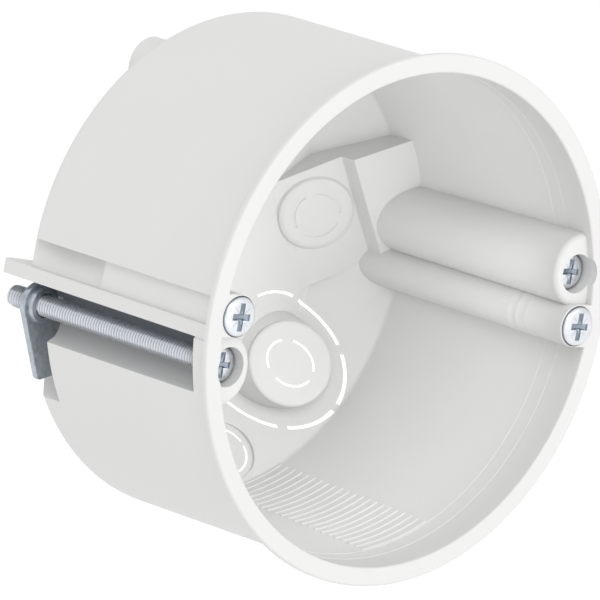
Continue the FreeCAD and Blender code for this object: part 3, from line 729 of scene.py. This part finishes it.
def screw_head(name, radius, top, seat, arms, half, depth):
    """Low pan head with its cross recess. The depths run from its top to its seat."""
    rise = seat - top
    profile = [(0.0, top)]
    profile += [(radius * share, top + rise * drop) for share, drop in HEAD_FORM]
    profile += [(0.0, seat)]
    head = turned(name, profile, steps=64)
    apply_boolean(head, cross_tools(top, arms, half, depth), "DIFFERENCE")

    # Painted shade: darker colour in the cross recess, and a painted dark rim on the head's side wall where
    # shade falls.
    def recess_shade(point, centre, normal):
        away = math.hypot(centre.x, centre.z)
        if away > radius * 0.93 and centre.y > top + rise * 0.25:
            return 0.8
        return 1.0 if centre.y > top + 0.1 and away < radius * 0.8 else 0.0

    mark(head, "painted_shade", recess_shade)
    return head


def threaded_rod(outer, depth, pitch, near, far, flank):
    """Thread whose roots are marked as shaded."""
    rod = thread_form("thread", outer, depth, pitch, near, far, flank)

    # Painted shade: the thread roots darken with their depth.
    def root_shade(point, centre, normal):
        return 0.9 * (outer - math.hypot(point.x, point.z)) / depth

    mark(rod, "painted_shade", root_shade)
    return rod


def build_claw_screw(name, fix):
    """Machine screw along the channel."""
    head = screw_head(name, **CLAW_HEAD)
    join(head, [threaded_rod(outer=fix["screw_radius"], pitch=fix["pitch"], **CLAW_THREAD)])
    smooth(head, 35)
    return head


def build_device_screw(name, fix):
    """Self-tapping screw for the device ring."""
    head = screw_head(name, **DEVICE_HEAD)
    join(head, [threaded_rod(outer=DEVICE_THREAD_RADIUS, pitch=fix["tapping_pitch"], **DEVICE_THREAD)])
    smooth(head, 35)
    return head


def join(target, others):
    """Merges meshes into one object without cutting them."""
    bm = bmesh.new()
    for item in [target] + others:
        bm.from_mesh(item.data)
    bm.to_mesh(target.data)
    bm.free()
    for item in others:
        bpy.data.objects.remove(item)


def build_claw(name, fix):
    """Stamped claw: plate, raised collar and threaded eye."""
    front, back = fix["claw_depth"], fix["claw_depth"] + fix["claw_thickness"]
    eye, low = 2.9, 1.9
    outline = [(0.0, -eye), (9.7, -eye, 0.6), (10.4, low, 0.6), (0.0, eye)]
    shape = rounded(outline) + arc((0.0, 0.0), eye, 90, 270, 32)[1:-1]
    spin = Matrix.Rotation(-math.radians(CLAW_REST), 4, "Y")
    plate = prism(name, shape, front, back, spin)
    edge_round(plate, 0.14)
    collar = turned("collar", [(0.0, front - 0.8), (2.0, front - 0.8), (2.25, front - 0.7),
                               (2.38, front - 0.5), (2.4, front + 0.3), (0.0, front + 0.3)], steps=64)
    apply_boolean(plate, [collar], "UNION")
    bore = turned("bore", [(0.0, front - 2.0), (2.0, front - 2.0), (1.55, front - 0.55), (1.55, back - 0.2),
                           (1.8, back + 0.4), (0.0, back + 0.4)], steps=48)
    apply_boolean(plate, [bore], "DIFFERENCE")

    # Painted shade inside the eye's bore.
    def eye_shade(point, centre, normal):
        inside = abs(normal.y) < 0.95 and math.hypot(point.x, point.z) < 2.05
        return 0.85 if inside and centre.y < back - 0.1 else 0.0

    mark(plate, "painted_shade", eye_shade)
    smooth(plate, 35)
    return plate


def node_group(name, inputs, outputs):
    """Empty shader group with named sockets."""
    group = bpy.data.node_groups.new(name, "ShaderNodeTree")
    for label, kind, default in inputs:
        socket = group.interface.new_socket(label, in_out="INPUT", socket_type=kind)
        socket.default_value = default
    for label, kind in outputs:
        group.interface.new_socket(label, in_out="OUTPUT", socket_type=kind)
    return group


def add_node(tree, kind, **values):
    """Node with some of its input values or properties set."""
    node = tree.nodes.new(kind)
    for name, value in values.items():
        label = name.replace("_", " ")
        if label in node.inputs:
            node.inputs[label].default_value = value
        else:
            setattr(node, name, value)
    return node


def grain_and_painted_light_group():
    """Fine surface grain: a colour that varies a little and is darkened toward a painted shade colour where
    painted shade is stored, a roughness, a height, and the stored painted glow.
    """
    name = "grain_and_painted_light"
    if name in bpy.data.node_groups:
        return bpy.data.node_groups[name]
    tree = node_group(name, [
        ("Colour", "NodeSocketColor", (0.8, 0.8, 0.8, 1.0)),
        ("Variation", "NodeSocketFloat", 0.02),
        ("Roughness", "NodeSocketFloat", 0.5),
        ("Roughness Change", "NodeSocketFloat", 0.06),
        ("Grain Size", "NodeSocketFloat", 1800.0),
        ("Cloud Size", "NodeSocketFloat", 60.0),
        ("Painted Shade Colour", "NodeSocketColor", (0.1, 0.1, 0.1, 1.0)),
    ], [
        ("Colour", "NodeSocketColor"),
        ("Roughness", "NodeSocketFloat"),
        ("Height", "NodeSocketFloat"),
        ("Light", "NodeSocketColor"),
    ])
    come = tree.nodes.new("NodeGroupInput")
    leave = tree.nodes.new("NodeGroupOutput")
    place = tree.nodes.new("ShaderNodeTexCoord")
    cloud = add_node(tree, "ShaderNodeTexNoise", Detail=3.0)
    grain = add_node(tree, "ShaderNodeTexNoise", Detail=4.0)
    links = tree.links
    links.new(place.outputs["Object"], cloud.inputs["Vector"])
    links.new(place.outputs["Object"], grain.inputs["Vector"])
    links.new(come.outputs["Cloud Size"], cloud.inputs["Scale"])
    links.new(come.outputs["Grain Size"], grain.inputs["Scale"])
    centred = add_node(tree, "ShaderNodeMath", operation="SUBTRACT")
    links.new(cloud.outputs["Fac"], centred.inputs[0])
    centred.inputs[1].default_value = 0.5
    shade = add_node(tree, "ShaderNodeMath", operation="MULTIPLY_ADD")
    links.new(centred.outputs[0], shade.inputs[0])
    links.new(come.outputs["Variation"], shade.inputs[1])
    shade.inputs[2].default_value = 1.0
    tint = tree.nodes.new("ShaderNodeVectorMath")
    tint.operation = "SCALE"
    links.new(come.outputs["Colour"], tint.inputs[0])
    links.new(shade.outputs[0], tint.inputs["Scale"])
    rough = add_node(tree, "ShaderNodeMath", operation="MULTIPLY_ADD")
    links.new(centred.outputs[0], rough.inputs[0])
    links.new(come.outputs["Roughness Change"], rough.inputs[1])
    links.new(come.outputs["Roughness"], rough.inputs[2])
    # Painted shade: the colour is mixed toward the painted shade colour by the stored painted shade.
    shaded = add_node(tree, "ShaderNodeAttribute", attribute_name="painted_shade")
    mix = add_node(tree, "ShaderNodeMix", data_type="RGBA")
    links.new(shaded.outputs["Fac"], mix.inputs["Factor"])
    links.new(tint.outputs[0], mix.inputs["A"])
    links.new(come.outputs["Painted Shade Colour"], mix.inputs["B"])
    # Painted glow: the stored light goes out unchanged, to make the through slots' walls glow.
    passing = add_node(tree, "ShaderNodeAttribute", attribute_name="light")
    links.new(passing.outputs["Color"], leave.inputs["Light"])
    links.new(mix.outputs["Result"], leave.inputs["Colour"])
    links.new(rough.outputs[0], leave.inputs["Roughness"])
    links.new(grain.outputs["Fac"], leave.inputs["Height"])
    return tree


def grained_material(name, base, painted_shade, metallic, roughness, grain, extras=None):
    """Principled material whose colour, roughness and bump come from the shared grain group, whose colour
    is darkened toward a painted shade colour where painted shade is stored, and whose emission takes the
    stored painted glow.

    The grain gives the colour's variation, the roughness's change, the grain's and the clouds'
    scale, and the bump's strength."""
    material = bpy.data.materials.new(name)
    material.use_nodes = True
    tree = material.node_tree
    shader = tree.nodes["Principled BSDF"]
    shader.inputs["Metallic"].default_value = metallic
    for label, value in (extras or {}).items():
        shader.inputs[label].default_value = value
    variation, change, fine, cloud, bump = grain
    node = tree.nodes.new("ShaderNodeGroup")
    node.node_tree = grain_and_painted_light_group()
    node.inputs["Colour"].default_value = (*base, 1.0)
    node.inputs["Painted Shade Colour"].default_value = (*painted_shade, 1.0)
    node.inputs["Variation"].default_value = variation
    node.inputs["Roughness"].default_value = roughness
    node.inputs["Roughness Change"].default_value = change
    node.inputs["Grain Size"].default_value = fine
    node.inputs["Cloud Size"].default_value = cloud
    relief = add_node(tree, "ShaderNodeBump", Strength=bump, Distance=0.00005)
    tree.links.new(node.outputs["Colour"], shader.inputs["Base Color"])
    tree.links.new(node.outputs["Roughness"], shader.inputs["Roughness"])
    # Painted glow: the stored light drives the emission, so the slot walls glow though they are no lamp.
    tree.links.new(node.outputs["Light"], shader.inputs["Emission Color"])
    tree.links.new(node.outputs["Height"], relief.inputs["Height"])
    tree.links.new(relief.outputs["Normal"], shader.inputs["Normal"])
    return material


# Painted glow: emission strength that makes the through slots' walls glow, though no lamp is behind them.
PAINTED_SLOT_GLOW = 0.5
# Painted shade: the colour the moulding is darkened toward in the channels beside the claw screws, where
# shade falls under the rail.
PLASTIC_SHADE = (0.22, 0.25, 0.29)


def plastic_material(finish):
    """White moulded plastic with a fine satin texture, darkened toward a painted shade colour in the
    channels and given a painted glow on the through slots' walls.
    """
    return grained_material("white_moulding", finish.plastic, PLASTIC_SHADE, 0.0, 0.45,
                            (0.03, 0.1, 2600.0, 90.0, 0.2),
                            {"Specular IOR Level": 0.35, "Emission Strength": PAINTED_SLOT_GLOW})


def zinc_material(finish):
    """Bright zinc plating on the screws, darkened toward a painted shade colour in the recesses, on the
    head sides and in the thread roots.
    """
    return grained_material("zinc_plating", finish.zinc, finish.recess, 1.0, 0.3,
                            (0.25, 0.2, 3000.0, 900.0, 0.2))


def claw_material(finish):
    """Duller plating on the stamped claws, darkened toward a painted shade colour in the eye's bore."""
    return grained_material("claw_plating", finish.claw, finish.recess, 1.0, 0.42,
                            (0.9, 0.3, 2200.0, 1500.0, 0.5))


def dress(piece, node, body, material):
    """Gives a piece its material and ties it to the frame."""
    piece.data.materials.clear()
    piece.data.materials.append(material)
    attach(piece, body)
    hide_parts(node)


def stand(piece, centre, turn):
    """Moves a piece from the Y axis to its own place."""
    piece.data.transform(Matrix.Translation(Vector((centre[0] * MM, 0.0, centre[1] * MM))))
    piece.data.transform(turn)


class BACKBOX_OT_moulding(bpy.types.Operator):
    """Builds the white moulding"""
    bl_idname = "backbox.moulding"
    bl_label = "Moulding"

    def execute(self, context):
        piece = build_moulding()
        # Painted shade in the channels beside the claw screws.
        mark(piece, "painted_shade", channel_shade(fixing_values()))
        # Painted glow on the walls of the through slots.
        mark(piece, "light", painted_slot_glow())
        smooth(piece, 24)
        dress(piece, "box_body", "box", plastic_material(context.scene.back_box_finish))
        return {"FINISHED"}


class BACKBOX_OT_screws(bpy.types.Operator):
    """Builds the claw screws and the device screws"""
    bl_idname = "backbox.screws"
    bl_label = "Screws"

    def execute(self, context):
        fix = fixing_values()
        zinc = zinc_material(context.scene.back_box_finish)
        for side, turn in SIDES:
            claw = build_claw_screw("claw_screw_%s_threaded" % side, fix)
            stand(claw, (fix["claw_x"], fix["claw_z"]), turn)
            dress(claw, "claw_screw_" + side, "claw_screw_" + side, zinc)
            device = build_device_screw("device_screw_%s_threaded" % side, fix)
            stand(device, (fix["device_x"], 0.0), turn)
            dress(device, "device_screw_" + side, "device_screw_" + side, zinc)
        return {"FINISHED"}


class BACKBOX_OT_claws(bpy.types.Operator):
    """Builds the two steel claws"""
    bl_idname = "backbox.claws"
    bl_label = "Claws"

    def execute(self, context):
        fix = fixing_values()
        steel = claw_material(context.scene.back_box_finish)
        for side, turn in SIDES:
            claw = build_claw("claw_%s_stamped" % side, fix)
            stand(claw, (fix["claw_x"], fix["claw_z"]), turn)
            dress(claw, "claw_" + side, "claw_" + side, steel)
        return {"FINISHED"}


class BACKBOX_OT_stage(bpy.types.Operator):
    """Sets the floor, the light and the camera"""
    bl_idname = "backbox.stage"
    bl_label = "Stage"

    def execute(self, context):
        add_floor()
        add_light()
        add_camera()
        return {"FINISHED"}


FLOOR_GAP = 25.0
FLOOR_SIZE = 6000.0
SKY_STRENGTH = 0.95
CENTRE = (0.0, 0.0, 0.0)
# Name, place and aim in metres, size in metres, power in watts and shape.
LIGHTS = (
    ("key", (0.25, -2.05, 0.35), CENTRE, 1.2, 16.0, "SQUARE"),
    ("side", (-1.4, -0.9, 1.5), CENTRE, 1.2, 8.0, "SQUARE"),
    ("fill", (-0.002, 0.002, 0.0), (0.0, 0.042, 0.0), 0.044, 0.0053, "DISK"),
)


def add_floor():
    """Plain pale floor below the box."""
    low = -setting("back_box_cup", "flange_radius") - FLOOR_GAP
    corners = [(-FLOOR_SIZE, -FLOOR_SIZE), (FLOOR_SIZE, -FLOOR_SIZE), (FLOOR_SIZE, FLOOR_SIZE),
               (-FLOOR_SIZE, FLOOR_SIZE)]
    bm = bmesh.new()
    bm.faces.new([bm.verts.new((x, y, low)) for x, y in corners])
    ground = mesh_object("floor", bm)
    ground_colour = bpy.context.scene.back_box_finish.ground
    material = grained_material("pale_floor", ground_colour, ground_colour, 0.0, 0.9,
                                (0.0, 0.0, 50.0, 5.0, 0.0), {"Specular IOR Level": 0.1})
    ground.data.materials.append(material)


def add_area(name, place, toward, size, power, shape):
    """Soft light at a place, shining toward a point."""
    data = bpy.data.lights.new(name, "AREA")
    data.shape = shape
    data.size = size
    data.energy = power
    lamp = bpy.data.objects.new(name, data)
    lamp.location = place
    lamp.rotation_euler = (Vector(place) - Vector(toward)).to_track_quat("Z", "Y").to_euler()
    bpy.context.scene.collection.objects.link(lamp)


def add_light():
    """Even room light, soft lights from the front and the left, and a weak fill into the cup."""
    scene = bpy.context.scene
    world = bpy.data.worlds.new("studio")
    scene.world = world
    world.use_nodes = True
    sky = world.node_tree.nodes["Background"]
    sky.inputs["Color"].default_value = (1.0, 1.0, 1.0, 1.0)
    sky.inputs["Strength"].default_value = SKY_STRENGTH
    for light in LIGHTS:
        add_area(*light)
    scene.view_settings.view_transform = "Standard"
    scene.view_settings.look = "None"


CAMERA_LENS = 573.018
CAMERA_DISTANCE = 1212.82
CAMERA_ASIDE = -14.065
CAMERA_RAISE = 2.74
CAMERA_UP = Vector((-0.021936, 0.219391, 0.97539))
CAMERA_BACK = Vector((-0.690499, -0.708872, 0.143915))


def add_camera():
    """Long lens from the front left, a little above, rolled as the photograph is."""
    data = bpy.data.cameras.new("camera")
    data.sensor_width = 36.0
    data.lens = CAMERA_LENS
    data.clip_end = 100.0
    camera = bpy.data.objects.new("camera", data)
    right = CAMERA_UP.cross(CAMERA_BACK)
    front = Vector((0.0, -setting("back_box_cup", "flange_thickness"), 0.0))
    place = front + right * CAMERA_ASIDE + CAMERA_UP * CAMERA_RAISE + CAMERA_BACK * CAMERA_DISTANCE
    axes = Matrix((right, CAMERA_UP, CAMERA_BACK)).transposed().to_4x4()
    camera.matrix_world = Matrix.Translation(place * MM) @ axes
    bpy.context.scene.collection.objects.link(camera)
    bpy.context.scene.camera = camera


class BACKBOX_PT_panel(bpy.types.Panel):
    """Lists the steps of the back box"""
    bl_idname = "BACKBOX_PT_panel"
    bl_label = "Back box"
    bl_space_type = "VIEW_3D"
    bl_region_type = "UI"
    bl_category = "Back box"

    def draw(self, context):
        for operator in OPERATORS:
            self.layout.operator(operator.bl_idname)


GROUPS = (
    ("back_box_cup", BackBoxCupSettings),
    ("back_box_fixing", BackBoxFixingSettings),
    ("back_box_finish", BackBoxFinishSettings),
)
OPERATORS = (BACKBOX_OT_moulding, BACKBOX_OT_screws, BACKBOX_OT_claws, BACKBOX_OT_stage)


def register():
    """Registers the settings, the operators and the panel."""
    for name, group in GROUPS:
        bpy.utils.register_class(group)
        setattr(bpy.types.Scene, name, bpy.props.PointerProperty(type=group))
    for item in OPERATORS + (BACKBOX_PT_panel,):
        bpy.utils.register_class(item)


def unregister():
    """Takes all of it out again."""
    for item in (BACKBOX_PT_panel,) + OPERATORS[::-1]:
        bpy.utils.unregister_class(item)
    for name, group in GROUPS[::-1]:
        delattr(bpy.types.Scene, name)
        bpy.utils.unregister_class(group)


def main():
    """Builds everything."""
    register()
    bpy.ops.backbox.moulding()
    bpy.ops.backbox.screws()
    bpy.ops.backbox.claws()
    bpy.ops.backbox.stage()


if __name__ == "__main__":
    main()
